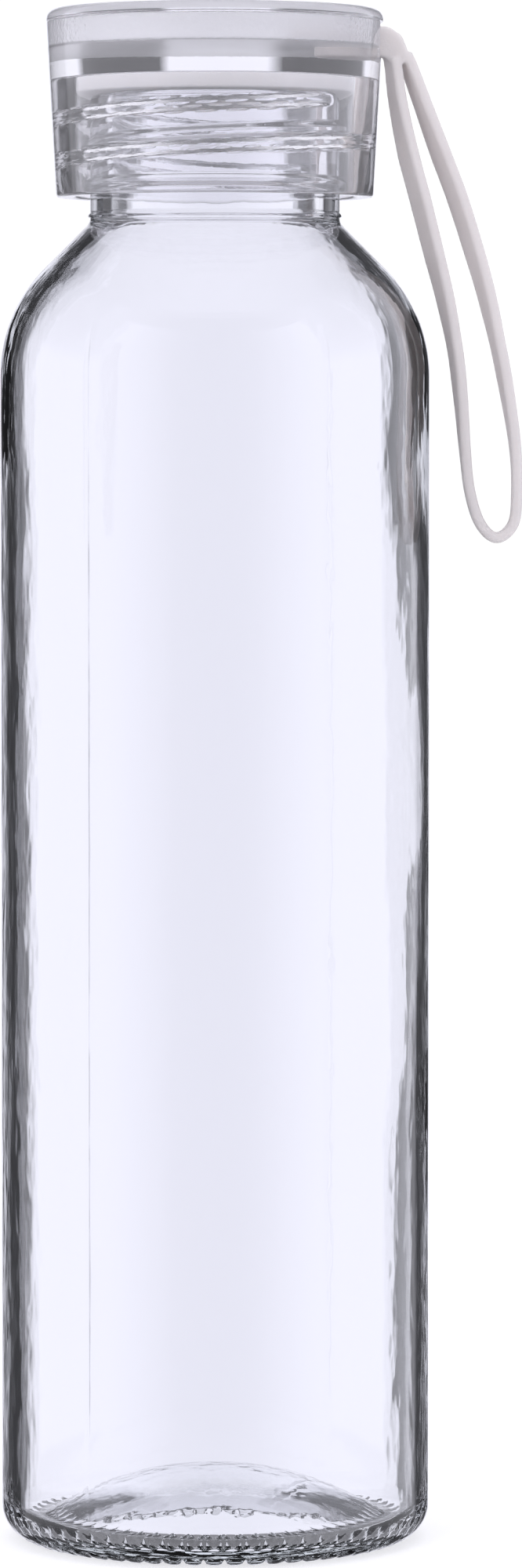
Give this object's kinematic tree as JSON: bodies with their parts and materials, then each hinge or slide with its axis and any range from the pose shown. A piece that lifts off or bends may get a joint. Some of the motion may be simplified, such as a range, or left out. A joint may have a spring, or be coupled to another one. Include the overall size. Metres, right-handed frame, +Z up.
{
  "type": "glass water bottle",
  "caption": "Straight clear glass drinking bottle with a knurled foot, a clear screw lid with a sealing ring, and a white silicone carrying loop on one side.",
  "frame": {"origin": "middle of the flat ring that the bottle stands on", "axes": "+Z up along the bottle's axis towards the lid, +X towards the side where the strap leaves the lid"},
  "size_m": [0.0754, 0.062, 0.2212],
  "materials": {
    "glass": "clear soda-lime glass",
    "lid_plastic": "clear polished styrene plastic",
    "seal_silicone": "satin silicone",
    "strap_silicone": "satin translucent silicone"
  },
  "bodies": {
    "bottle": {"glass_body": "glass"},
    "seal": {"gasket": "seal_silicone"},
    "lid": {"lid_shell": "lid_plastic", "lid_cover": "lid_plastic", "strap_anchor": "strap_silicone"},
    "strap": {"strap_loop": "strap_silicone"}
  },
  "joints": [
    {"name": "lid_lift", "type": "slide", "parent": "bottle", "child": "seal", "axis": [0, 0, 1], "range_m": [0, 0.0151]},
    {"name": "lid_turn", "type": "hinge", "parent": "seal", "child": "lid", "pos_m": [0, 0, 0.2091], "axis": [0, 0, 1], "range_deg": [0, 900]},
    {"name": "strap_swing", "type": "hinge", "parent": "lid", "child": "strap", "pos_m": [0.02485, 0, 0.2166], "axis": [0, -1, 0], "range_deg": [-3, 95], "stiffness_Nm_per_rad": 0.02}
  ],
  "couplings": [
    {"joint": "lid_lift", "follows": "lid_turn", "m_per_rad": 0.00095493}
  ]
}
